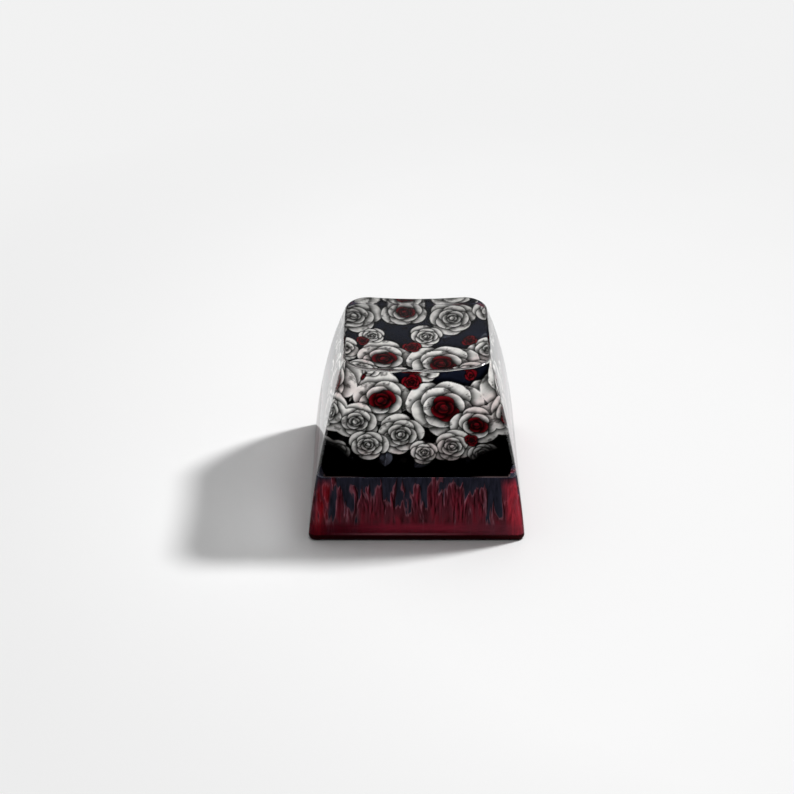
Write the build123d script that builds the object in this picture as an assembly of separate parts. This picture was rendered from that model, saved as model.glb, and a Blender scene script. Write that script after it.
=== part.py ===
"""Tall cast-resin keycap: clear dished cap, slanted picture film and tinted base with a cross-socket post.

Millimetres, +Z up, front face towards -Y. The origin is the middle of the rim that rests on the desk.
"""
from build123d import *
import os
from math import cos, radians, sin

# Outer form
base_width = 17.9        # skirt at the desk, left to right
base_depth = 17.9        # skirt at the desk, front to back
top_width = 11.95        # outline of the top, left to right, at rim_height
top_depth = 11.95        # outline of the top, front to back, at rim_height
rim_height = 14.6        # height of the top's edge at the middle of each side
side_bulge = 0.39        # how far a side stands out from a straight taper, halfway up
base_corner = 0.6        # upright corner radius at the desk
top_corner = 2.0         # upright corner radius at rim_height
corner_growth = 4        # power of the height by which the corner opens out
dish_radius = 47.0       # ball that hollows the finger rest
dish_depth = 0.38        # middle of the dish below rim_height
rim_round = 0.3          # rounded edge round the dish
foot_round = 0.3         # rounded outer edge of the skirt at the desk

# Pours
base_height = 5.75       # top of the tinted base, where the clear resin starts

# Picture film, standing on the base at its front edge and rising to the back
film_slant = 25.0        # degrees from level
film_thickness = 0.2
film_front_margin = 0.08 # clear resin between the front face and the film's foot
film_side_margin = 0.55  # clear resin beyond the film's side edges
film_back_margin = 0.08  # clear resin behind the film's upper edge
film_corner = 0.3        # corner radius of the film in plan, at base_height
film_back_corner = 1.5   # what that radius has grown to by rim_height

# Underside
skirt_wall = 1.5         # resin between the outer face and the hollow
hollow_height = 4.8      # roof of the hollow above the desk
hollow_corner = 1.2      # upright corner radius of the hollow at the desk
hollow_draft = 7.5       # degrees that each wall of the hollow leans in
post_diameter = 5.5      # round post that carries the socket
post_recess = 0.8        # end of the post above the desk
post_root = 0.4          # chamfer between the post and the roof of the hollow
socket_span = 4.1        # length of each bar of the cross socket
socket_bar_x = 1.2       # width of the bar that runs left to right
socket_bar_y = 1.3       # width of the bar that runs front to back
socket_depth = 3.8
socket_lead = 0.2        # chamfer at the mouth of the socket

# Construction
loft_sections = 6        # outlines that carry a lofted form
trim_height = 2.0        # stock above rim_height that the dish cuts away


def size_at(height, base_size, top_size):
    """Full size of the outline at a height: a straight taper plus a parabolic bulge."""
    share = height / rim_height
    return base_size + (top_size - base_size) * share + 8 * side_bulge * share * (1 - share)


def outline(height, side_margin, front_margin, back_margin, corner):
    """Rounded rectangle at a height, drawn in from the outer faces by the margins."""
    width = size_at(height, base_width, top_width) - 2 * side_margin
    depth = size_at(height, base_depth, top_depth) - front_margin - back_margin
    shift = (front_margin - back_margin) / 2
    return Pos(0, shift, height) * RectangleRounded(width, depth, corner)


def outer_corner(height):
    """Upright corner radius of the outer form at a height."""
    return base_corner + (top_corner - base_corner) * (height / rim_height) ** corner_growth


def film_round(height):
    """Corner radius of the film's outline at a height."""
    share = (height - base_height) / (rim_height - base_height)
    return film_corner + (film_back_corner - film_corner) * share


def heights(low, high):
    """Evenly spaced heights for the outlines of a loft."""
    return [low + (high - low) * i / (loft_sections - 1) for i in range(loft_sections)]


def cap_form():
    """Whole outside of the keycap: bowed taper, ball-shaped dish, rounded rim and foot.

    The ball lies on its side, so its poles are clear of the dish.
    """
    stock_top = rim_height + trim_height
    form = loft([outline(z, 0, 0, 0, outer_corner(z)) for z in heights(0, stock_top)])
    ball_centre = rim_height - dish_depth + dish_radius
    form -= Pos(0, 0, ball_centre) * Rot(90, 0, 0) * Sphere(dish_radius)
    dish = form.faces().filter_by(GeomType.SPHERE)[0]
    form = fillet(dish.edges(), rim_round)
    return fillet(form.faces().sort_by(Axis.Z)[0].edges(), foot_round)


def picture_film():
    """Thin sheet that rises from the base's front to the back of the cap, within the clear resin."""
    stock_top = rim_height + trim_height
    bounds = loft([
        outline(z, film_side_margin, film_front_margin, film_back_margin, film_round(z))
        for z in heights(base_height, stock_top)
    ])
    slant = radians(film_slant)
    foot_y = film_front_margin - size_at(base_height, base_depth, top_depth) / 2
    face = Plane(origin=(0, foot_y, base_height), x_dir=(1, 0, 0), z_dir=(0, -sin(slant), cos(slant)))
    reach = 2 * (base_depth + rim_height)
    sheet = face * Box(base_width, reach, film_thickness, align=(Align.CENTER, Align.CENTER, Align.MAX))
    return sheet & bounds


def clear_cap(form, film):
    """Clear casting above the base, closed round the film."""
    return split(form, Plane.XY.offset(base_height), keep=Keep.TOP) - film


def tinted_base(form):
    """Skirt, hollow and post with its cross socket, poured as one piece."""
    base = split(form, Plane.XY.offset(base_height), keep=Keep.BOTTOM)
    mouth = outline(0, skirt_wall, skirt_wall, skirt_wall, hollow_corner)
    base -= extrude(mouth, hollow_height, taper=hollow_draft)
    post_length = hollow_height - post_recess
    on_end = (Align.CENTER, Align.CENTER, Align.MIN)
    base += Pos(0, 0, post_recess) * Cylinder(post_diameter / 2, post_length, align=on_end)
    roots = base.edges().filter_by(GeomType.CIRCLE).filter_by(lambda edge: edge.is_closed)
    base = chamfer(roots.sort_by(Axis.Z)[-1], post_root)
    cross = Rectangle(socket_span, socket_bar_x) + Rectangle(socket_bar_y, socket_span)
    post_end = Plane.XY.offset(post_recess)
    base -= extrude(post_end * cross, socket_depth)
    lead = offset(cross, socket_lead, kind=Kind.INTERSECTION)
    return base - loft([post_end * lead, Plane.XY.offset(post_recess + socket_lead) * cross])


os.makedirs("parts", exist_ok=True)
whole = cap_form()
sheet = picture_film()
export_step(clear_cap(whole, sheet), "parts/clear_cap.step")
export_step(sheet, "parts/picture_film.step")
export_step(tinted_base(whole), "parts/tinted_base.step")
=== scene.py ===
import math

import bpy
import numpy as np
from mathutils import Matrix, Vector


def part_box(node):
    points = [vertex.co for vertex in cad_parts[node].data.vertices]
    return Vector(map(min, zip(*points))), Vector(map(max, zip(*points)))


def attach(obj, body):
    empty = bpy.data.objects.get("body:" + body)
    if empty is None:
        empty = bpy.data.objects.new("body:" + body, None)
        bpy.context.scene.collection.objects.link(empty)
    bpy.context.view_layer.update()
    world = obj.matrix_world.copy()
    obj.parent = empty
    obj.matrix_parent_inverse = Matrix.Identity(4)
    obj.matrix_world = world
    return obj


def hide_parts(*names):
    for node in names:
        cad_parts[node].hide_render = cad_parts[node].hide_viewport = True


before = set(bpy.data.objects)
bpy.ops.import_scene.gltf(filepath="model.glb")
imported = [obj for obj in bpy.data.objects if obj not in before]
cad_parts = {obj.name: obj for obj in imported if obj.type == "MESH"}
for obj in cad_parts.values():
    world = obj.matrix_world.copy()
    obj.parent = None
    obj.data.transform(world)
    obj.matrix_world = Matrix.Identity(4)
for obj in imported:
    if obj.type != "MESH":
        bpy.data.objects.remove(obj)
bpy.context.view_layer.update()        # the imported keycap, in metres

mm = 0.001               # sizes below are in millimetres and meshes in metres
goldenAngle = 2.39996    # turn from one petal or wave to the next, in radians
scene = bpy.context.scene
print("frame loaded:", ", ".join(sorted(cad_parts)))

# outer form shared by the clear cap and the base, as the solids have it
form = {
    "baseSize": 17.9,        # width and depth at the desk
    "topSize": 11.95,        # width and depth at the rim
    "rimHeight": 14.6,       # rim at the middle of a side
    "bulge": 0.39,           # how far a side bows out halfway up
    "baseCorner": 0.6,
    "topCorner": 2.0,
    "cornerGrowth": 4,       # power of the height by which a corner opens out
    "pourHeight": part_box("tinted_base")[1].z / mm,
    "sidePoints": 64,        # mesh points on a side
    "arcPoints": 24,         # mesh points on a corner
    "sharpAngle": 38,        # degrees past which an edge is shaded sharp
    "probe": 0.01,           # short step that finds a surface's direction
}


def smoothStep(low, high, value):
    # 0 below low, 1 above high, a cubic with level ends between
    t = np.clip((value - low) / (high - low), 0, 1)
    return t * t * (3 - 2 * t)


def unit(vectors):
    # each row brought to a length of one
    return vectors / np.linalg.norm(vectors, axis=1, keepdims=True)


def sizeAt(height):
    # full size at a height: straight taper plus a parabola that is zero at desk and rim
    share = height / form["rimHeight"]
    taper = form["baseSize"] + (form["topSize"] - form["baseSize"]) * share
    return taper + 8 * form["bulge"] * share * (1 - share)


def cornerAt(height):
    # corner radius at a height: it opens out by a power of the height
    share = (height / form["rimHeight"]) ** form["cornerGrowth"]
    return form["baseCorner"] + (form["topCorner"] - form["baseCorner"]) * share


def ringTemplate(sidePoints, arcPoints):
    # a rounded square, anticlockwise from the right side, as factors of the corner centre
    # and a unit normal: point = factors * (half size - radius) + normal * radius
    facing = np.arange(4) * math.pi / 2
    out = np.stack([np.cos(facing), np.sin(facing)], 1)[:, None]
    along = np.stack([-out[..., 1], out[..., 0]], -1)
    side = np.linspace(-1, 1, sidePoints, endpoint=False)[:, None]
    turn = np.linspace(0, math.pi / 2, arcPoints, endpoint=False)[:, None]
    sideCentre = out + along * side
    arcNormal = out * np.cos(turn) + along * np.sin(turn)
    centre = np.concatenate([sideCentre, np.broadcast_to(out + along, arcNormal.shape)], 1)
    normal = np.concatenate([np.broadcast_to(out, sideCentre.shape), arcNormal], 1)
    return centre.reshape(-1, 2), normal.reshape(-1, 2)


ringCentre, ringNormal = ringTemplate(form["sidePoints"], form["arcPoints"])
ringCount = len(ringCentre)


def squareRing(half, radius, height):
    # one ring of points: a rounded square of a half size and corner radius at a height,
    # each of them one number or a number for each point
    half, radius, height = [np.broadcast_to(v, ringCount)[:, None] for v in (half, radius, height)]
    return np.concatenate([ringCentre * (half - radius) + ringNormal * radius, height], 1)


def wallRing(height, inset=0.0):
    # ring on the outer wall at a height, or inside it by an inset
    return squareRing(sizeAt(height) / 2 - inset, cornerAt(height) - inset, height)


def roundEdge(before, edge, after, steps):
    # arc from before to after as a rational quadratic, with the sharp edge as its control point
    # and the sine of half the angle there as that point's weight
    first = before - edge
    second = after - edge
    lengths = np.linalg.norm(first, axis=1) * np.linalg.norm(second, axis=1)
    weight = np.sqrt((1 - (first * second).sum(1) / lengths) / 2)[:, None]
    rows = []
    for t in np.linspace(0, 1, steps):
        a, b, c = (1 - t) ** 2, 2 * t * (1 - t) * weight, t ** 2
        rows.append((a * before + b * edge + c * after) / (a + b + c))
    return rows


def roundReach(first, second, radius):
    # how far from the sharp edge a round of a radius starts, by the angle between two directions
    halfAngle = np.arccos((first * second).sum(1)) / 2
    return radius / np.tan(halfAngle)


def meshObject(name, points, faces, material):
    # mesh from points in millimetres, smooth apart from its sharp edges
    mesh = bpy.data.meshes.new(name)
    mesh.from_pydata((points * mm).tolist(), [], faces)
    mesh.shade_smooth()
    mesh.set_sharp_from_angle(angle=math.radians(form["sharpAngle"]))
    mesh.materials.append(material)
    piece = bpy.data.objects.new(name, mesh)
    scene.collection.objects.link(piece)
    return piece


def ringSolid(name, rings, material):
    # closed skin over a stack of rings, with a pole in the middle of the first and last
    rows = np.stack(rings)
    count, around = rows.shape[:2]
    index = np.arange(count * around).reshape(count, around)
    ahead = np.roll(index, -1, 1)
    quads = np.stack([index[:-1], ahead[:-1], ahead[1:], index[1:]], -1).reshape(-1, 4)
    firstPole = np.full(around, count * around)
    lastPole = firstPole + 1
    fans = np.concatenate([
        np.stack([firstPole, ahead[0], index[0]], -1),
        np.stack([index[-1], ahead[-1], lastPole], -1),
    ])
    points = np.concatenate([rows.reshape(-1, 3), rows[[0, -1]].mean(1)])
    return meshObject(name, points, quads.tolist() + fans.tolist(), material)


def feed(tree, node, inputs):
    # a node's inputs by name or number: each takes a value or another node's output, and None leaves it
    for label, value in inputs.items():
        if isinstance(value, bpy.types.NodeSocket):
            tree.links.new(value, node.inputs[label])
        elif value is not None:
            node.inputs[label].default_value = value


def addNode(tree, kind, inputs=None, **settings):
    # a shader node of a kind, with its settings and then its inputs
    made = tree.nodes.new("ShaderNode" + kind)
    for label, value in settings.items():
        setattr(made, label, value)
    feed(tree, made, inputs or {})
    return made


def newMaterial(name):
    # empty material with its output and a Principled shader
    material = bpy.data.materials.new(name)
    material.use_nodes = True
    tree = material.node_tree
    tree.nodes.clear()
    shader = addNode(tree, "BsdfPrincipled")
    output = addNode(tree, "OutputMaterial", {"Surface": shader.outputs["BSDF"]})
    return material, tree, shader, output


def mathNode(tree, operation, first, *others, clamp=False):
    # Math nodes: the first value with each of the others in turn, or by itself
    for other in others or (None,):
        made = addNode(tree, "Math", {0: first, 1: other}, operation=operation, use_clamp=clamp)
        first = made.outputs[0]
    return first


def offFrom(tree, value, place):
    # how far a value is from a place, either way
    return mathNode(tree, "ABSOLUTE", mathNode(tree, "SUBTRACT", value, place))


def rangeNode(tree, value, low, high, first=0.0, last=1.0):
    # a value carried from low..high to first..last, and held at both ends
    limits = {"From Min": low, "From Max": high, "To Min": first, "To Max": last}
    return addNode(tree, "MapRange", {"Value": value, **limits}).outputs["Result"]


def mixColour(tree, factor, first, second):
    # from the first colour to the second by a factor
    return addNode(tree, "Mix", {0: factor, 6: first, 7: second}, data_type="RGBA").outputs[2]


def scaleColour(tree, colour, factor):
    # a colour times a factor
    return addNode(tree, "VectorMath", {0: colour, "Scale": factor}, operation="SCALE").outputs[0]


def mixShader(tree, factor, first, second=None):
    # shader mix; with no second shader that share is black
    return addNode(tree, "MixShader", {0: factor, 1: first, 2: second}).outputs[0]


def attributeNode(tree, name):
    # a piece's own mask, by name
    return addNode(tree, "Attribute", attribute_name=name).outputs["Fac"]


def millimetres(tree, stretch=(1, 1, 1), shift=(0, 0, 0)):
    # object coordinates in millimetres, stretched along the axes and then shifted
    place = addNode(tree, "TexCoord").outputs["Object"]
    scale = [part / mm for part in stretch]
    made = addNode(tree, "VectorMath", {0: place, 1: scale, 2: shift}, operation="MULTIPLY_ADD")
    return made.outputs[0]


def noiseNode(tree, look, shift=(0, 0, 0)):
    # noise value; a look says how it is stretched, how fine it is and how it is distorted
    made = addNode(tree, "TexNoise", {
        "Vector": millimetres(tree, look.get("stretch", (1, 1, 1)), shift),
        "Scale": look["scale"],
        "Detail": look["detail"],
        "Roughness": look.get("roughness", 0.5),
        "Distortion": look.get("distortion", 0.0),
    })
    return made.outputs["Fac"]


# shared finish: gloss that soft smears and fine hairlines break up, and a slight casting ripple
handled = {
    "smears": {"scale": 0.35, "detail": 4, "from": 0.42, "gain": 2.2},
    "hairlines": {"stretch": (1, 6, 1), "scale": 2.2, "detail": 3, "from": 0.5, "gain": 0.6},
    "ripple": {"stretch": (1, 1, 0.12), "scale": 0.9, "detail": 1},
}


def makeHandledGloss():
    # group: roughness is the gloss plus the smear times the marks, and a mark is what a noise
    # has above a level times a gain; the ripple is a noise drawn out upwards
    group = bpy.data.node_groups.new("handledGloss", "ShaderNodeTree")
    for label in ("Gloss", "Smear"):
        group.interface.new_socket(label, in_out="INPUT", socket_type="NodeSocketFloat")
    for label in ("Roughness", "Ripple"):
        group.interface.new_socket(label, in_out="OUTPUT", socket_type="NodeSocketFloat")
    given = group.nodes.new("NodeGroupInput")
    result = group.nodes.new("NodeGroupOutput")
    marks = []
    for look in (handled["smears"], handled["hairlines"]):
        above = mathNode(group, "SUBTRACT", noiseNode(group, look), look["from"], clamp=True)
        marks.append(mathNode(group, "MULTIPLY", above, look["gain"]))
    spread = mathNode(group, "MULTIPLY", mathNode(group, "ADD", *marks), given.outputs["Smear"])
    rough = mathNode(group, "ADD", spread, given.outputs["Gloss"])
    ripple = noiseNode(group, handled["ripple"])
    feed(group, result, {"Roughness": rough, "Ripple": ripple})
    return group


handledGloss = makeHandledGloss()


def placeGloss(tree, shader, piece):
    # the shared finish in a material, with the piece's own gloss and smear
    own = {"Gloss": piece["gloss"], "Smear": piece["smear"]}
    finish = addNode(tree, "Group", own, node_tree=handledGloss)
    feed(tree, shader, {"Roughness": finish.outputs["Roughness"]})
    return finish


print("form and shared finish ready")

# clear cap: bowed walls, rounded rim and a dish cut by a ball
clearCap = {
    "dishRadius": 47.0,
    "dishDepth": 0.38,
    "rimRound": 0.3,
    "rimTries": 12,          # rounds of working out where the walls meet the ball
    "wallRows": 44,
    "rimRows": 9,
    "dishRows": 40,
    "keyIn": 0.03,           # how far its underside is sunk into the base
    "keyInset": 0.02,
    "tint": (0.985, 0.992, 0.996, 1),
    "refraction": 1.5,
    "frontMirror": 0.0,      # share of the mirror seen straight on that the resin keeps
    "gloss": 0.012,
    "smear": 0.05,
    "ripple": 0.008 * mm,    # height of the casting ripple, in metres
    "rimMirror": 2.2,        # refraction of the coat that shines on the rim and the front corners
    "rimGloss": 0.12,        # roughness of that coat
    "rimShade": (0.06, 0.06, 0.07, 1),
    "shadeLean": 2,          # above 1 the rim's dark line lies nearer the dish
    "rimShine": 0.7,
    "shineLean": 0.6,        # below 1 its bright line lies nearer the wall
    "rightShine": 0.5,       # share of the shine that the right side keeps
    "frontTurn": (-0.2, 0.9),     # how far a wall faces the front where its shine starts and is full
    "rightTurn": (0.5, 1.0),      # likewise the right
    "cornerTurn": (0.05, 0.3),    # and how far it faces both on a corner
    "cornerShine": (0.07, 0.15),  # at the left and the right
}


def dishHeight(points):
    # height of the ball's lower face over points of the plan
    lowest = form["rimHeight"] - clearCap["dishDepth"]
    radius = clearCap["dishRadius"]
    return lowest + radius - np.sqrt(radius ** 2 - (points[:, :2] ** 2).sum(1))


def dishRing(edge, share):
    # ring of the dish: the rim's plan drawn in to a share of itself
    ring = edge * np.reshape(share, (-1, 1))
    ring[:, 2] = dishHeight(ring)
    return ring


def clearRings():
    # underside, wall, rim and dish, with each ring's share of the way across the rim's round;
    # the sharp rim is where a wall ring meets the ball
    rim = np.full(ringCount, form["rimHeight"])
    for _ in range(clearCap["rimTries"]):
        rim = dishHeight(wallRing(rim))
    edge = wallRing(rim)
    down = unit(wallRing(rim - form["probe"]) - edge)
    inward = unit(dishRing(edge, 1 - form["probe"]) - edge)
    reach = roundReach(down, inward, clearCap["rimRound"])
    wallTop = rim + down[:, 2] * reach
    plan = np.linalg.norm(edge[:, :2], axis=1)
    dishShare = 1 - reach * np.linalg.norm(inward[:, :2], axis=1) / plan
    low = form["pourHeight"]
    wall = [wallRing(low + (wallTop - low) * t) for t in np.linspace(0, 1, clearCap["wallRows"])]
    rounded = roundEdge(wall[-1], edge, dishRing(edge, dishShare), clearCap["rimRows"])
    dishSteps = np.linspace(1, 0, clearCap["dishRows"], endpoint=False)
    dish = [dishRing(edge, dishShare * t) for t in dishSteps]
    key = wallRing(low - clearCap["keyIn"], clearCap["keyInset"])
    rings = [key, *wall, *rounded[1:-1], *dish]
    acrossRim = np.zeros(len(rings))
    first = 1 + len(wall)
    acrossRim[first:first + len(rounded) - 2] = np.linspace(0, 1, len(rounded))[1:-1]
    return rings, acrossRim


def clearResin():
    # clear glossy resin; light on its way to what is inside passes, and the whole still casts a shadow
    material, tree, shader, output = newMaterial("clearResin")
    finish = placeGloss(tree, shader, clearCap)
    bump = addNode(tree, "Bump", {"Distance": clearCap["ripple"], "Height": finish.outputs["Ripple"]})
    shade = attributeNode(tree, "rimShade")
    feed(tree, shader, {
        "Base Color": mixColour(tree, shade, clearCap["tint"], clearCap["rimShade"]),
        "Transmission Weight": 1,
        "IOR": clearCap["refraction"],
        "Specular Tint": (*[clearCap["frontMirror"]] * 3, 1),
        "Normal": bump.outputs["Normal"],
        "Coat Weight": attributeNode(tree, "rimShine"),
        "Coat IOR": clearCap["rimMirror"],
        "Coat Roughness": clearCap["rimGloss"],
    })
    rays = addNode(tree, "LightPath").outputs
    skin = addNode(tree, "NewGeometry").outputs
    clearWay = addNode(tree, "BsdfTransparent").outputs["BSDF"]
    leaving = mathNode(tree, "MULTIPLY", rays["Is Shadow Ray"], skin["Backfacing"])
    feed(tree, output, {"Surface": mixShader(tree, leaving, shader.outputs["BSDF"], clearWay)})
    return material


def markRim(piece, acrossRim):
    # two masks, each a sine across the rim's round: a dark line towards the dish, all round,
    # and a bright one towards the wall, strongest at the front; the front corners shine all the way down
    toRight, toBack = ringNormal.T
    front = smoothStep(*clearCap["frontTurn"], -toBack)
    front = front + clearCap["rightShine"] * smoothStep(*clearCap["rightTurn"], toRight)
    dark = np.sin(math.pi * acrossRim ** clearCap["shadeLean"])[:, None] * np.ones(ringCount)
    bright = np.sin(math.pi * acrossRim ** clearCap["shineLean"])[:, None]
    bright = bright * np.clip(front, 0, 1) * clearCap["rimShine"]
    turn = clearCap["cornerTurn"]
    corner = smoothStep(*turn, np.abs(toRight)) * smoothStep(*turn, -toBack)
    left, right = clearCap["cornerShine"]
    bright[:clearCap["wallRows"] + 1] = corner * np.where(toRight < 0, left, right)
    for label, values in (("rimShade", dark), ("rimShine", bright)):
        layer = piece.data.attributes.new(label, "FLOAT", "POINT")
        layer.data.foreach_set("value", np.append(values.ravel(), (0, 0)))


clearStack, clearRim = clearRings()
clearPiece = ringSolid("clear_cap_resin", clearStack, clearResin())
markRim(clearPiece, clearRim)
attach(clearPiece, "root")
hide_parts("clear_cap")
print("clear cap made")

# picture film: thin slanted sheet that carries the print
film = {
    "slant": 25.0,           # degrees from level
    "thickness": 0.2,
    "frontMargin": 0.08,
    "sideMargin": 0.55,
    "backMargin": 0.08,
    "corner": 0.3,           # corner radius in plan at the base
    "backCorner": 1.5,       # what it has grown to by the rim's height
    "backTries": 30,         # rounds of working out where it meets the back wall
    "bedding": 1e-4,         # how far it lies above the base
    "across": 300,           # mesh points from side to side
    "along": 270,            # mesh points from front to back
    "backInk": (0.80, 0.80, 0.81),
    # colour of the painted highlight along the sheet's edge
    "paintedEdgeHighlight": (0.30, 0.21, 0.21),
    "edgeHighlightShare": (0.14, 0.4),     # how strong the painted highlight along the edge is, left and right; stronger on the lit right
    "edgeHighlightInset": (0.14, 0.06),     # how far in from the edge it starts and is full
    "edgeSides": (4.2, 6.0),      # where it starts and is full towards the sides
    "edgeFront": (0.45, 0.2),     # and towards the front
    "grain": {"scale": 14.0, "detail": 3},
    "grainShare": 0.08,
    "rough": 0.6,
    "mirror": 0.0,
}

# print: pale roses with crimson hearts, slate leaves and buds on a dark ground
# a rose or bud is x, distance up the slope, radius and turn; a leaf is its stalk, length and direction
flowers = {
    "ground": (0, 0, 0),
    "night": (0.010, 0.013, 0.026),
    "bone": (0.83, 0.81, 0.78),
    "umber": (0.005, 0.004, 0.004),
    "slate": (0.060, 0.068, 0.088),
    "crimson": (0.17, 0.004, 0.009),
    "roses": [
        (-5.5, 14.4, 2.3, 0.4), (-1.0, 15.1, 2.0, 1.1), (3.2, 14.2, 2.2, 2.0), (6.7, 15.0, 1.7, 0.3),
        (-6.7, 9.6, 1.9, 2.6), (6.6, 9.4, 2.1, 0.9), (-2.9, 8.2, 2.6, 1.7), (2.2, 7.4, 3.1, 0.2),
        (-5.0, 6.0, 2.0, 2.9), (4.9, 5.6, 2.1, 0.7), (-1.3, 4.6, 2.0, 1.9), (-4.0, 3.5, 1.6, 0.1),
        (2.9, 3.3, 1.7, 1.2), (0.6, 2.7, 1.2, 2.2), (5.4, 2.5, 1.2, 0.6), (-6.6, 2.7, 1.2, 1.5),
        (0.9, 11.7, 1.5, 2.1), (-3.9, 11.7, 1.1, 0.8),
    ],
    "redHearts": (1, 6, 7, 9),   # roses whose inner petals are crimson, counted from none
    "buds": [
        (-0.4, 10.1, 0.8, 0.5), (4.7, 10.9, 0.7, 1.4), (-4.7, 10.9, 0.6, 2.2), (4.5, 4.0, 0.6, 2.4),
    ],
    "leaves": [
        (0.3, 11.0, 2.3, 0.6), (3.0, 11.6, 2.2, 2.6), (-2.6, 11.0, 2.2, 2.9), (5.6, 11.2, 2.0, 0.4),
        (-7.2, 7.6, 1.8, 1.3), (4.2, 6.0, 1.9, 5.4), (1.2, 2.4, 1.9, 3.9), (-2.4, 3.0, 1.8, 4.6),
        (4.1, 2.0, 1.6, 5.3), (-5.2, 2.2, 1.6, 4.0),
    ],
    "leafWidth": 0.3,        # half a leaf's width, in lengths
    "leafBow": 0.8,          # below 1 a leaf is fuller towards its ends
    "leafNotch": 0.08,       # depth of the notches in its edge, as a share of the width
    "notchPitch": 40,
    "veinPitch": 46,
    "petals": 17,
    # a petal's distance out, half length and half width, in radii: what the first has more than
    # the last, what the last has, and the power by which it shrinks
    "petalSpans": ((0.60, 0.03, 1.15), (0.40, 0.10, 1), (0.52, 0.12, 1)),
    "petalWobble": 0.10,
    "petalShadow": 0.17,     # reach of the shadow round a petal, in radii
    "petalLine": 0.85,       # strength of its outline
    "rootLight": 0.16,       # light at a petal's root, and what is added up to its lip
    "lipLight": 0.74,
    "turnLight": 0.10,       # what the way it faces adds
    "foldLight": 0.09,
    "veinDark": 0.16,
    "curlLight": 0.28,
    "heartFrom": 0.62,       # share of the petals after which they are the heart's
    "nightOver": (8.5, 11.5),     # up the slope, where the ground starts to be night and is
    "nightLeast": 0.45,
    "stain": (0.55, 0.13, 0.15),  # tint of the stains on the lower roses
    "stainShare": 0.2,
    "stainOver": (11.0, 8.0),
    "fleckShare": 0.7,
    # how much darker the print is at the back and the front, and where that starts and is full
    "dims": ((0.3, 10.5, 14.0), (0.34, 8.0, 5.0)),
    "fadeFrom": 0.6,         # the print fades to black towards the front edge, and sooner at the sides
    "fadeOver": 2.4,
    "fadeSides": 2.8,
    "sidesOver": (3.2, 7.2),
    "fadeRagged": 1.2,
}


def waves(x, y, seed, octaves=4):
    # smooth noise between 0 and 1: sines of turned and growing frequencies added up, each weaker
    total = np.zeros_like(x)
    for k in range(octaves * 3):
        turn = goldenAngle * (k + seed)
        pitch = 0.9 * 1.62 ** (k / 1.5)
        along = x * np.cos(turn) + y * np.sin(turn)
        total += np.sin(pitch * along + 1.7 * k + seed * 3.1) / 1.28 ** k
    return 0.5 + 0.5 * np.tanh(total * 0.55)


def lay(colour, paint, cover):
    # paint over a colour field by a cover from 0 to 1
    return colour + (np.asarray(paint) - colour) * cover[..., None]


def paintLeaf(colour, x, y, leaf):
    # a leaf along a line: half width is a sine bow of the length, darker to its rib
    # and with slanting veins
    startX, startY, length, turn = leaf
    along = ((x - startX) * np.cos(turn) + (y - startY) * np.sin(turn)) / length
    aside = ((y - startY) * np.cos(turn) - (x - startX) * np.sin(turn)) / length
    bow = flowers["leafWidth"] * np.sin(np.pi * np.clip(along, 0, 1)) ** flowers["leafBow"]
    notch = 1 - flowers["leafNotch"] * np.abs(np.sin(along * flowers["notchPitch"]))
    cover = smoothStep(-0.02, 0.03, bow * notch - np.abs(aside)) * (bow > 0.001)
    veins = 0.5 + 0.5 * np.sin((along - np.abs(aside) * 1.2) * flowers["veinPitch"])
    light = 0.55 + 0.5 * smoothStep(0, 0.25, np.abs(aside)) + 0.5 * (aside > 0) - 0.3 * veins
    rib = smoothStep(0.035, 0.01, np.abs(aside))
    tone = np.asarray(flowers["slate"]) * (light + 1.2 * rib)[..., None]
    return lay(lay(colour, flowers["ground"], cover), tone, cover * 0.9)


def petalLight(ahead, aside, inside, angle, k):
    # light on a petal: it rises from the root to the lip, with soft folds across it, dark veins
    # near the root and a bright curl just inside the lip
    light = flowers["rootLight"] + flowers["lipLight"] * smoothStep(-0.8, 0.9, ahead)
    light += flowers["turnLight"] * np.sin(angle - 0.6)
    light += flowers["foldLight"] * np.sin(aside * 9 + 2 * ahead + k) * smoothStep(-0.4, 0.8, ahead)
    veins = np.sin(aside * 24 + 4 * ahead + 2 * k) * smoothStep(1.0, -0.2, ahead)
    light -= flowers["veinDark"] * np.clip(veins, 0, 1)
    curl = smoothStep(0.02, 0.05, inside) * smoothStep(0.15, 0.07, inside)
    return np.clip(light + flowers["curlLight"] * curl * smoothStep(0.0, 0.7, ahead), 0, 1)


def paintRose(colour, x, y, rose, pale, heart):
    # petals from the outside in, each an ellipse a golden angle on from the last and nearer the middle,
    # pale at its lip and dark at its root, with a fine dark outline and a shadow round it
    centreX, centreY, radius, turn = rose
    wobble = flowers["petalWobble"] * (waves(x * 1.9, y * 1.9, turn + centreX, 2) - 0.5)
    deep = np.asarray(flowers["umber"])
    for k in range(flowers["petals"]):
        t = k / (flowers["petals"] - 1)
        angle = turn + goldenAngle * k
        out, long, wide = [
            radius * (more * (1 - t) ** power + least) for more, least, power in flowers["petalSpans"]
        ]
        dx, dy = x - centreX - out * np.cos(angle), y - centreY - out * np.sin(angle)
        ahead = (dx * np.cos(angle) + dy * np.sin(angle)) / long
        aside = (dy * np.cos(angle) - dx * np.sin(angle)) / wide
        inside = (1 - np.sqrt(ahead ** 2 + aside ** 2) + wobble) * long
        shadow = smoothStep(-flowers["petalShadow"] * radius, 0.0, inside)
        colour = lay(colour, flowers["ground"], 0.8 * shadow)
        petal = np.asarray(heart if t > flowers["heartFrom"] else pale)
        tone = deep + (petal - deep) * petalLight(ahead, aside, inside, angle, k)[..., None]
        colour = lay(colour, tone, smoothStep(-0.01, 0.02, inside))
        line = smoothStep(0.045, 0.015, np.abs(inside - 0.01))
        colour = lay(colour, deep, flowers["petalLine"] * line)
    return colour


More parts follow.
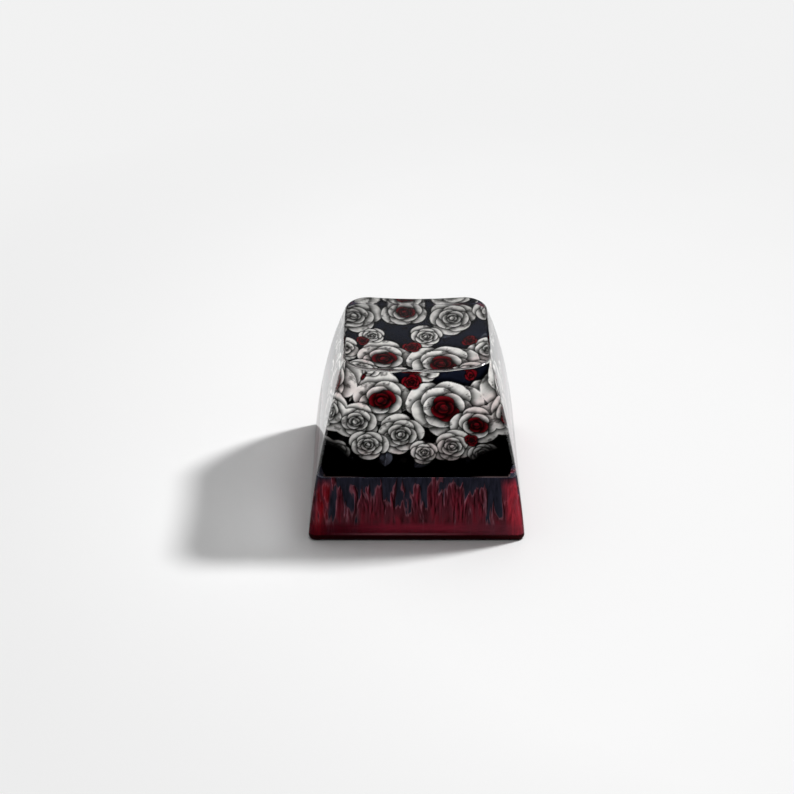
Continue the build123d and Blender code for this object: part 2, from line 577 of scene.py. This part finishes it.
def paintPrint(x, y):
    # the whole print on points across and up the slope: ground, leaves, roses and buds, then stains
    # and flecks, and last the dimming and the fade
    cloud = waves(x * 0.5, y * 0.5, 4.2)
    least = flowers["nightLeast"]
    ground = np.zeros((*x.shape, 3)) + np.asarray(flowers["ground"])
    night = smoothStep(*flowers["nightOver"], y) * (least + (1 - least) * cloud)
    colour = lay(ground, flowers["night"], night)
    for leaf in flowers["leaves"]:
        colour = paintLeaf(colour, x, y, leaf)
    for k, rose in enumerate(flowers["roses"]):
        heart = "crimson" if k in flowers["redHearts"] else "bone"
        colour = paintRose(colour, x, y, rose, flowers["bone"], flowers[heart])
    for bud in flowers["buds"]:
        colour = paintRose(colour, x, y, bud, flowers["crimson"], flowers["crimson"])
    stain = smoothStep(0.62, 0.9, waves(x * 0.8 + 3, y * 0.8, 8.8))
    stain = stain * smoothStep(*flowers["stainOver"], y)
    colour = lay(colour, colour * np.asarray(flowers["stain"]), flowers["stainShare"] * stain)
    fleck = smoothStep(0.76, 0.92, waves(x * 4.0, y * 4.0, 1.3))
    colour = lay(colour, flowers["umber"], flowers["fleckShare"] * fleck)
    for dim, start, full in flowers["dims"]:
        colour *= 1 - dim * smoothStep(start, full, y)[..., None]
    start = flowers["fadeFrom"] + flowers["fadeSides"] * smoothStep(*flowers["sidesOver"], np.abs(x))
    fade = smoothStep(0, flowers["fadeOver"], y - start + flowers["fadeRagged"] * (cloud - 0.5))
    return lay(ground, colour, fade)


def printedFilm():
    # finish of the print: matt ink with a fine paper grain
    material, tree, shader, _ = newMaterial("printedFilm")
    ink = addNode(tree, "VertexColor", layer_name="print").outputs["Color"]
    share = film["grainShare"]
    shade = mathNode(tree, "MULTIPLY", noiseNode(tree, film["grain"]), 2 * share)
    shade = mathNode(tree, "ADD", shade, 1 - share)
    feed(tree, shader, {
        "Base Color": scaleColour(tree, ink, shade),
        "Roughness": film["rough"],
        "Specular IOR Level": film["mirror"],
    })
    return material


def filmSlope():
    # the sheet's foot at the base's front, the directions up the slope and out of it, and its length
    # to the back wall, which leans in as the sheet rises
    slant = math.radians(film["slant"])
    rise = np.array([0, math.cos(slant), math.sin(slant)])
    normal = np.array([0, -math.sin(slant), math.cos(slant)])
    low = form["pourHeight"]
    foot = np.array([0, film["frontMargin"] - sizeAt(low) / 2, low])
    length = 0.0
    for _ in range(film["backTries"]):
        back = sizeAt(low + length * rise[2]) / 2 - film["backMargin"]
        length = (back - foot[1]) / rise[1]
    return foot, rise, normal, length


def filmHalf(rows, foot, rise):
    # half width at distances up the slope: the wall's at that height less a margin,
    # and less what an arc takes off near the front and the back
    low = form["pourHeight"]
    height = low + rows * rise[2]
    wall = sizeAt(height) / 2
    share = (height - low) / (form["rimHeight"] - low)
    radius = film["corner"] + (film["backCorner"] - film["corner"]) * share
    place = foot[1] + rows * rise[1]
    toBack = wall - film["backMargin"] - place
    toFront = place + wall - film["frontMargin"]
    near = np.clip(radius - np.minimum(toBack, toFront), 0, radius)
    bite = radius - np.sqrt(radius ** 2 - near ** 2)
    return wall - film["sideMargin"] - bite


def filmSkin(top, normal, creaseRow):
    # closed skin: the grid on top, a skirt round it as deep as the sheet, and two flat faces below,
    # one that lies on the base up to the crease and one under the slope
    count, across = top.shape[:2]
    index = np.arange(count * across).reshape(count, across)
    loop = np.concatenate([index[0, :-1], index[:-1, -1], index[-1, :0:-1], index[:0:-1, 0]])
    upper = top.reshape(-1, 3)
    low = form["pourHeight"]
    under = upper[loop] - normal * film["thickness"]
    sunk = under[:, 2] < low
    under[sunk, 1] = upper[loop][sunk, 1]
    under[:, 2] = np.maximum(under[:, 2], low + film["bedding"])
    below = np.arange(len(loop)) + count * across
    quads = np.stack([index[:-1, :-1], index[:-1, 1:], index[1:, 1:], index[1:, :-1]], -1)
    skirt = np.stack([below, np.roll(below, -1), np.roll(loop, -1), loop], -1)
    right = across - 1 + creaseRow
    left = len(loop) - creaseRow
    frontFace = np.concatenate([below[:right + 1], below[left:]])[::-1]
    backFace = below[right:left + 1][::-1]
    faces = quads.reshape(-1, 4).tolist() + skirt.tolist() + [frontFace.tolist(), backFace.tolist()]
    return np.concatenate([upper, under]), faces, loop, len(frontFace) + len(backFace)


def inkFilm(piece, x, y, half, loop, flatCorners):
    # colours of the print and its painted edge highlight on the grid, carried over the skirt, and plain
    # ink below
    inset = np.minimum(y, half[:, None] - np.abs(x))
    # painted highlight along the sheet's lower edges, stronger at the right
    line = smoothStep(*film["edgeHighlightInset"], inset) * smoothStep(*film["edgeSides"], np.abs(x))
    line = line * smoothStep(*film["edgeFront"], y)
    left, right = film["edgeHighlightShare"]
    colours = lay(paintPrint(x, y), film["paintedEdgeHighlight"], line * np.where(x > 0, right, left)).reshape(-1, 3)
    colours = np.concatenate([colours, colours[loop]])
    corners = np.empty(len(piece.data.loops), int)
    piece.data.loops.foreach_get("vertex_index", corners)
    ink = np.ones((len(corners), 4), np.float32)
    ink[:, :3] = colours[corners]
    ink[-flatCorners:, :3] = film["backInk"]
    layer = piece.data.color_attributes.new("print", "FLOAT_COLOR", "CORNER")
    layer.data.foreach_set("color", ink.ravel())


def makeFilm():
    # the sheet on a grid across and up the slope; a row lies where its underside leaves the base
    foot, rise, normal, length = filmSlope()
    crease = film["thickness"] * normal[2] / rise[2]
    rows = np.linspace(0, length, film["along"])
    creaseRow = int(np.argmin(np.abs(rows - crease)))
    rows[creaseRow] = crease
    half = filmHalf(rows, foot, rise)
    x = np.linspace(-1, 1, film["across"])[None, :] * half[:, None]
    y = np.repeat(rows[:, None], film["across"], 1)
    top = foot + y[..., None] * rise
    top[..., 0] = x
    points, faces, loop, flatCorners = filmSkin(top, normal, creaseRow)
    piece = meshObject("picture_film_print", points, faces, printedFilm())
    inkFilm(piece, x, y, half, loop, flatCorners)
    return piece


filmPiece = makeFilm()
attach(filmPiece, "root")
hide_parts("picture_film")
print("picture film made")

# tinted base: skirt with a rounded foot, hollow, and a post with a cross socket
# in its finish a range is where it starts and ends, and the values there if they aren't 0 and 1
base = {
    "footRound": 0.3,
    "skirtWall": 1.5,
    "hollowHeight": 4.8,
    "hollowCorner": 1.2,
    "hollowDraft": 7.5,      # degrees
    "postRadius": 2.75,
    "postRecess": 0.8,
    "postRoot": 0.4,
    "socketSpan": 4.1,
    "socketBarX": 1.2,
    "socketBarY": 1.3,
    "socketDepth": 3.8,
    "socketLead": 0.2,
    "footRows": 12,
    "wallRows": 20,
    "hollowRows": 10,
    "postRows": 5,
    "wallLean": 0.142,       # how far the wall leans in for each millimetre of height
    "gloss": 0.05,
    "smear": 0.10,
    "mirror": 0.03,
    # tongues
    "navy": (0.0250, 0.0255, 0.0410, 1),
    "mauve": (0.20, 0.073, 0.096, 1),
    "darkRed": (0.110, 0.0190, 0.0300, 1),
    "crimson": (0.180, 0.0140, 0.0275, 1),
    "stops": (
        (0.395, "navy"), (0.437, "mauve"), (0.495, "darkRed"), (0.56, "darkRed"), (0.68, "crimson"),
    ),
    "masses": {"stretch": (1, 1, 0.10), "scale": 0.55, "detail": 0.6, "distortion": 0.8},
    "massShare": 0.95,
    "tongues": {"stretch": (1, 1, 0.12), "scale": 1.9, "detail": 1.8, "distortion": 0.9},
    "tongueShare": 0.85,
    "climb": (1.55, 11.55, 0.272, 0.872),   # what the height takes off the red
    "crest": (4.7, 5.7, 0.0, 0.10),         # and what it takes off near the top
    "gapPlace": 7.2,                        # dark gap beside the corners, as far out as at the desk
    "gapWidth": (0.42, 0.15, 0.0, 0.10),
    "gapRise": (1.7, 2.9),
    "streaks": {"stretch": (1, 1, 0.1), "scale": 3.4, "detail": 3, "roughness": 0.6, "distortion": 0.4},
    "streakTone": (0.16, 0.84, 0.25, 1.75),
    "edgeStep": 0.1,         # a tongue's edge is lit or dark by how the tongues change over this step
    "edgeLight": 6.5,
    "edgeOnRed": (0.36, 0.44, 0.15, 1.0),   # little of that in the navy
    "edgeRise": (1.7, 3.4, 0.15, 1.0),      # and near the pool
    "darkest": 0.12,
    # pool
    "poolMiddle": (0.19, 0.0120, 0.0280, 1),
    "poolLeft": (0.085, 0.0010, 0.0090, 1),
    "poolRight": (0.150, 0.0240, 0.0400, 1),
    "poolToLeft": (-2.5, -6.2),
    "poolToRight": (2.5, 6.2),
    "poolRise": (1.85, 1.40, 0.0, 0.85),
    "swirls": {"stretch": (0.35, 0.35, 2.2), "scale": 1.6, "detail": 3.0, "distortion": 1.2},
    "swirlTone": (0.25, 0.75, 0.7, 1.3),
    "bandHeight": 1.3,       # middle of the pool's brighter band
    "bandTone": (0.5, 0.1, 0.0, 0.6),
    # corners: painted glow of light through the red resin, stronger on the lit right, over a clearer red
    # pigment
    "glowLeft": (0.52, 0.0080, 0.0170, 1),
    # the right's colour also holds a painted pinkish sheen
    "glowRight": (0.62, 0.0440, 0.0720, 1),
    "toRight": (0.0, 3.3),
    "glowShare": (-3.0, 3.0, 0.42, 0.70),   # how strong the painted glow is, left and right; stronger on the lit right
    "glowOut": (7.5, 8.05),
    "glowEnd": (8.5, 8.85),                 # painted shade: it darkens again at the very edge
    "glowLeast": (0.0, 3.3, 0.5, 0.95),     # to this share, left and right; the shaded left is darker
    "glowRise": (0.7, 2.4, 0.45, 1.0),
    "glowTop": 0.85,                        # height over which it fades below the pour's top
    "glowStreaks": (0.36, 0.64, 0.45, 1.55),
    "glowFaces": (-0.2, 0.13),              # on the front and back faces, and hardly round the corner
    # foot: painted shade on its rounding, and a painted highlight line above it
    # painted shade where the foot rounds under
    "footShade": (0.030, 0.0006, 0.0012, 1),
    "footRise": (0.60, 0.50),
    "footHighlight": (0.40, 0.160, 0.190, 1),
    "highlightHeight": 0.64,      # painted highlight line above the foot
    "highlightTone": (0.13, 0.05, 0.0, 0.6),
    "highlightMiddle": -1.3,
    "highlightReach": (6.0, 1.5),
}


def crossReach(angle, grow):
    # distance from the middle to the outline of a cross of two bars, by angle
    span = base["socketSpan"] / 2 + grow
    halfX = base["socketBarX"] / 2 + grow
    halfY = base["socketBarY"] / 2 + grow
    c, s = np.abs(np.cos(angle)) + 1e-9, np.abs(np.sin(angle)) + 1e-9
    return np.maximum(np.minimum(span / c, halfX / s), np.minimum(halfY / c, span / s))


def crossAngles(ring):
    # angles of a ring's points, with the nearest ones moved on to the corners of the cross
    angle = np.arctan2(ring[:, 1], ring[:, 0])
    span = base["socketSpan"] / 2
    barX = base["socketBarX"] / 2
    barY = base["socketBarY"] / 2
    tips = np.array([(span, barX), (barY, barX), (barY, span)])
    tips = np.concatenate([tips * sign for sign in ((1, 1), (-1, 1), (-1, -1), (1, -1))])
    tipAngle = np.arctan2(tips[:, 1], tips[:, 0])
    angle[np.abs(angle[:, None] - tipAngle).argmin(0)] = tipAngle
    return angle


def polarRing(angle, radius, height):
    # ring by angle and radius at a height
    flat = np.stack([np.cos(angle), np.sin(angle)], 1) * np.reshape(radius, (-1, 1))
    return np.concatenate([flat, np.full((len(angle), 1), height)], 1)


def hollowRing(height):
    # ring on the hollow's wall, which leans in by the draft
    lean = height * math.tan(math.radians(base["hollowDraft"]))
    mouthHalf = form["baseSize"] / 2 - base["skirtWall"]
    return squareRing(mouthHalf - lean, base["hollowCorner"] - lean, height)


def postRings(angle):
    # the socket's roof, its walls and lead-in, then the post's end and its side up to the root
    end = base["postRecess"]
    lead = base["socketLead"]
    shaft = base["postRadius"]
    socketTop = end + base["socketDepth"]
    root = base["hollowHeight"] - base["postRoot"]
    narrow = crossReach(angle, 0)
    wide = crossReach(angle, lead)
    rings = [polarRing(angle, narrow * t, socketTop) for t in (0.25, 0.5, 0.75, 1)]
    drop = end + lead - socketTop
    rings += [polarRing(angle, narrow, socketTop + drop * t) for t in (0.33, 0.66, 1)]
    rings += [polarRing(angle, wide, end), polarRing(angle, (wide + shaft) / 2, end)]
    rows = np.linspace(0, 1, base["postRows"])
    return rings + [polarRing(angle, shaft, end + (root - end) * t) for t in rows]


def skirtRings(mouth):
    # from the hollow's mouth under the skirt, round the foot and up the outer wall
    edge = wallRing(0.0)
    rise = unit(wallRing(form["probe"]) - edge)
    inward = np.concatenate([-ringNormal, np.zeros((ringCount, 1))], 1)
    reach = roundReach(rise, inward, base["footRound"])
    low = rise[:, 2] * reach
    high = form["pourHeight"]
    footEdge = edge + inward * reach[:, None]
    rings = [mouth + (footEdge - mouth) * t for t in (0.33, 0.66)]
    rings += roundEdge(footEdge, edge, wallRing(low), base["footRows"])
    return rings + [wallRing(low + (high - low) * t) for t in np.linspace(0, 1, base["wallRows"])[1:]]


def baseRings():
    # from the socket's roof down its walls, up the post, over the roof of the hollow, down its walls,
    # round the foot, up the outer wall and in to the middle of the top
    roof = base["hollowHeight"]
    roofRing = hollowRing(roof)
    angle = crossAngles(roofRing)
    rings = postRings(angle)
    postEdge = polarRing(angle, base["postRadius"] + base["postRoot"], roof)
    rings += [postEdge + (roofRing - postEdge) * t for t in (0, 0.33, 0.66)]
    rings += [hollowRing(roof * t) for t in np.linspace(1, 0, base["hollowRows"])]
    rings += skirtRings(rings[-1])
    return rings + [rings[-1] * (t, t, 1) for t in (0.97, 0.75, 0.5, 0.25)]


def basePlaces(tree):
    # what the finish is worked out from: places on the base, and the streaks that run through it
    x, y, height = addNode(tree, "SeparateXYZ", {0: millimetres(tree)}).outputs
    sideX = mathNode(tree, "ABSOLUTE", x)
    sideY = mathNode(tree, "ABSOLUTE", y)
    leaning = mathNode(tree, "MULTIPLY", height, base["wallLean"])
    return {
        "x": x,
        "height": height,
        "outward": mathNode(tree, "ADD", mathNode(tree, "MINIMUM", sideX, sideY), leaning),
        "facing": mathNode(tree, "SUBTRACT", sideY, sideX),
        "streaks": noiseNode(tree, base["streaks"]),
    }


def tongueColour(tree, at):
    # wide masses of red, split into tongues, climb into the navy: their noises less the height's share,
    # turned into colours by a ramp, and lit or dark by streaks and by the change from left to right
    masses = mathNode(tree, "MULTIPLY", noiseNode(tree, base["masses"]), base["massShare"])
    tongues = noiseNode(tree, base["tongues"])
    beside = noiseNode(tree, base["tongues"], (base["edgeStep"], 0, 0))
    red = mathNode(tree, "ADD", masses, mathNode(tree, "MULTIPLY", tongues, base["tongueShare"]))
    gap = rangeNode(tree, offFrom(tree, at["outward"], base["gapPlace"]), *base["gapWidth"])
    gap = mathNode(tree, "MULTIPLY", gap, rangeNode(tree, at["height"], *base["gapRise"]))
    climb = rangeNode(tree, at["height"], *base["climb"])
    crest = rangeNode(tree, at["height"], *base["crest"])
    field = mathNode(tree, "SUBTRACT", red, mathNode(tree, "ADD", climb, crest, gap))
    ramp = addNode(tree, "ValToRGB", {0: field})
    stops = ramp.color_ramp.elements
    for position, colour in base["stops"]:
        stops.new(position).color = base[colour]
    for spare in (stops[-1], stops[0]):      # the two that a new ramp has
        stops.remove(spare)
    onRed = rangeNode(tree, field, *base["edgeOnRed"])
    risen = rangeNode(tree, at["height"], *base["edgeRise"])
    change = mathNode(tree, "SUBTRACT", beside, tongues)
    edge = mathNode(tree, "MULTIPLY", change, base["edgeLight"], onRed, risen)
    lit = mathNode(tree, "ADD", rangeNode(tree, at["streaks"], *base["streakTone"]), edge)
    return scaleColour(tree, ramp.outputs["Color"], mathNode(tree, "MAXIMUM", lit, base["darkest"]))


def poolOver(tree, at, colour):
    # even pool at the bottom, deeper at the sides, with level swirls and a brighter band at its middle
    toLeft = rangeNode(tree, at["x"], *base["poolToLeft"])
    toRight = rangeNode(tree, at["x"], *base["poolToRight"])
    pool = mixColour(tree, toRight, base["poolMiddle"], base["poolRight"])
    pool = mixColour(tree, toLeft, pool, base["poolLeft"])
    middle = mathNode(tree, "SUBTRACT", 1.0, mathNode(tree, "MAXIMUM", toLeft, toRight))
    band = rangeNode(tree, offFrom(tree, at["height"], base["bandHeight"]), *base["bandTone"])
    swirled = rangeNode(tree, noiseNode(tree, base["swirls"]), *base["swirlTone"])
    tone = mathNode(tree, "ADD", mathNode(tree, "MULTIPLY", band, middle), swirled)
    cover = rangeNode(tree, at["height"], *base["poolRise"])
    return mixColour(tree, cover, colour, scaleColour(tree, pool, tone))


def paintedGlowOver(tree, at, colour):
    # painted glow at the corners of the front and back faces: light seen through the red resin, stronger
    # on the lit right and darker at the very edge, in upright streaks over a clearer red; a product of
    # ranges
    top = form["pourHeight"]
    least = rangeNode(tree, at["x"], *base["glowLeast"])
    glow = mathNode(
        tree, "MULTIPLY",
        rangeNode(tree, at["outward"], *base["glowOut"]),
        rangeNode(tree, at["outward"], *base["glowEnd"], 1.0, least),
        rangeNode(tree, at["height"], *base["glowRise"]),
        rangeNode(tree, at["height"], top, top - base["glowTop"]),
        rangeNode(tree, at["streaks"], *base["glowStreaks"]),
        rangeNode(tree, at["x"], *base["glowShare"]),
        rangeNode(tree, at["facing"], *base["glowFaces"]),
    )
    toRight = rangeNode(tree, at["x"], *base["toRight"])
    glowColour = mixColour(tree, toRight, base["glowLeft"], base["glowRight"])
    return mixColour(tree, mathNode(tree, "MINIMUM", glow, 1.0), colour, glowColour)


def paintedFootOver(tree, at, colour):
    # painted shade on the foot, and the painted highlight line above it that fades to both sides
    footed = mixColour(tree, rangeNode(tree, at["height"], *base["footRise"]), colour, base["footShade"])
    line = rangeNode(tree, offFrom(tree, at["height"], base["highlightHeight"]), *base["highlightTone"])
    reach = rangeNode(tree, offFrom(tree, at["x"], base["highlightMiddle"]), *base["highlightReach"])
    return mixColour(tree, mathNode(tree, "MULTIPLY", line, reach), footed, base["footHighlight"])


def tintedResin():
    # glossy resin: navy and red tongues, with the pool, the corners' painted glow and the foot's painted
    # shade and highlight over them in turn
    material, tree, shader, _ = newMaterial("tintedResin")
    at = basePlaces(tree)
    colour = tongueColour(tree, at)
    for layer in (poolOver, paintedGlowOver, paintedFootOver):
        colour = layer(tree, at, colour)
    placeGloss(tree, shader, base)
    feed(tree, shader, {"Base Color": colour, "Specular IOR Level": base["mirror"]})
    return material


basePiece = ringSolid("tinted_base_resin", baseRings(), tintedResin())
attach(basePiece, "root")
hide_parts("tinted_base")
print("tinted base made")

# floor, light and camera
studio = {
    "floorX": (-220.0, 220.0),
    "floorY": (-62.0, 260.0),
    "paper": 0.92,                   # how bright the floor looks near the keycap
    "paperFar": 0.885,               # and far away
    "palest": 0.97,
    "paperRough": 0.8,
    "paperMirror": 0.1,
    "farFrom": 40.0,                 # where it starts to be far
    "farOver": 45.0,
    "mottle": {"scale": 0.12, "detail": 5},
    "mottleReach": 12.0,
    "unmirrored": (-12.0, -18.0),    # where the floor starts to be left out of mirrors, and is
    "keyShare": 0.78,                # about what the key and the sky each add to a white floor
    "skyShare": 0.36,
    "keyPlace": (50.0, 19.8, 74.5),
    "keyRadius": 5.4,
    "keyStrength": 2.55,             # light that falls on a surface turned to it, the same near and far
    "skyTop": 0.90,                  # fill straight above
    "skyPower": 3.0,                 # power of the height by which it falls
    "skyLean": 1.5,                  # how much stronger it is from behind
    "cameraPlace": (-1.612, -132.0, 90.86),
    "cameraDown": 31.997,            # degrees below level
    "lens": 83.913,
    "sensor": 36,
    "cameraSees": (0.005, 10),       # nearest and farthest, in metres
}


def palePaper():
    # its tone is the wanted brightness over the light that falls on it, so that it looks even;
    # far away the camera sees one pale tone, and the keycap's front face mirrors none of it
    material, tree, shader, output = newMaterial("palePaper")
    place = millimetres(tree)
    toKey, away = [
        addNode(tree, "VectorMath", {0: place, 1: end}, operation="DISTANCE").outputs["Value"]
        for end in (studio["keyPlace"], (0, 0, 0))
    ]
    facing = mathNode(tree, "DIVIDE", studio["keyPlace"][2], toKey)
    fromKey = mathNode(tree, "MULTIPLY", facing, studio["keyShare"])
    falling = mathNode(tree, "ADD", fromKey, studio["skyShare"])
    even = mathNode(tree, "DIVIDE", studio["paper"], falling)
    feed(tree, shader, {
        "Base Color": mathNode(tree, "MINIMUM", even, studio["palest"]),
        "Roughness": studio["paperRough"],
        "Specular IOR Level": studio["paperMirror"],
    })
    mottle = mathNode(tree, "MULTIPLY", noiseNode(tree, studio["mottle"]), studio["mottleReach"])
    past = mathNode(tree, "SUBTRACT", mathNode(tree, "ADD", away, mottle), studio["farFrom"])
    far = mathNode(tree, "DIVIDE", past, studio["farOver"], clamp=True)
    rays = addNode(tree, "LightPath").outputs
    plain = addNode(tree, "Emission", {"Strength": studio["paperFar"]}).outputs["Emission"]
    seenFar = mathNode(tree, "MULTIPLY", far, rays["Is Camera Ray"])
    blend = mixShader(tree, seenFar, shader.outputs["BSDF"], plain)
    parts = addNode(tree, "SeparateXYZ", {0: place}).outputs
    before = rangeNode(tree, parts["Y"], *studio["unmirrored"])
    mirrored = mathNode(tree, "MULTIPLY", before, rays["Is Glossy Ray"])
    feed(tree, output, {"Surface": mixShader(tree, mirrored, blend)})
    return material


def makeFloor():
    # a level rectangle under the keycap
    left, right = studio["floorX"]
    front, back = studio["floorY"]
    corners = np.array([(left, front, 0), (right, front, 0), (right, back, 0), (left, back, 0)])
    floor = meshObject("floor", corners, [(0, 1, 2, 3)], palePaper())


def makeKey():
    # a soft key from the right, the same near and far
    lamp = bpy.data.lights.new("key", "POINT")
    lamp.energy = 4 * math.pi * studio["keyStrength"]
    lamp.shadow_soft_size = studio["keyRadius"] * mm
    lamp.use_nodes = True
    tree = lamp.node_tree
    fall = addNode(tree, "LightFalloff", {"Strength": 1.0})
    feed(tree, tree.nodes["Emission"], {"Strength": fall.outputs["Constant"]})
    key = bpy.data.objects.new("key", lamp)
    scene.collection.objects.link(key)
    key.location = [part * mm for part in studio["keyPlace"]]
    key.visible_transmission = False


def makeSky():
    # a sky that is brightest overhead, as a power of the height, and stronger from behind;
    # the backdrop is white where the camera sees it, straight on or through the resin
    world = bpy.data.worlds.new("studio")
    scene.world = world
    world.use_nodes = True
    tree = world.node_tree
    tree.nodes.clear()
    place = addNode(tree, "TexCoord").outputs["Generated"]
    parts = addNode(tree, "SeparateXYZ", {0: place}).outputs
    up = mathNode(tree, "POWER", mathNode(tree, "MAXIMUM", parts["Z"], 0.0), studio["skyPower"])
    lean = mathNode(tree, "ADD", mathNode(tree, "MULTIPLY", parts["Y"], studio["skyLean"]), 1.0)
    strength = mathNode(tree, "MULTIPLY", up, mathNode(tree, "MAXIMUM", lean, 0.0), studio["skyTop"])
    rays = addNode(tree, "LightPath").outputs
    direct = mathNode(tree, "LESS_THAN", rays["Diffuse Depth"], 0.5)
    through = mathNode(tree, "MULTIPLY", rays["Is Transmission Ray"], direct)
    seen = mathNode(tree, "ADD", rays["Is Camera Ray"], through, clamp=True)
    paleness = rangeNode(tree, rays["Is Camera Ray"], 0.0, 1.0, 1.0, studio["paperFar"])
    sky, white = [
        addNode(tree, "Background", {"Color": (1, 1, 1, 1), "Strength": light}).outputs[0]
        for light in (strength, paleness)
    ]
    addNode(tree, "OutputWorld", {"Surface": mixShader(tree, seen, sky, white)})


def makeCamera():
    # the photograph's view: from the front and above
    lens = bpy.data.cameras.new("camera")
    lens.lens = studio["lens"]
    lens.sensor_width = studio["sensor"]
    lens.clip_start, lens.clip_end = studio["cameraSees"]
    camera = bpy.data.objects.new("camera", lens)
    scene.collection.objects.link(camera)
    camera.location = [part * mm for part in studio["cameraPlace"]]
    camera.rotation_euler = (math.radians(90 - studio["cameraDown"]), 0, 0)
    scene.camera = camera


makeFloor()
makeKey()
makeSky()
makeCamera()
scene.view_settings.view_transform = "Standard"
scene.cycles.caustics_reflective = False
scene.cycles.caustics_refractive = True
print("floor, light and camera ready")
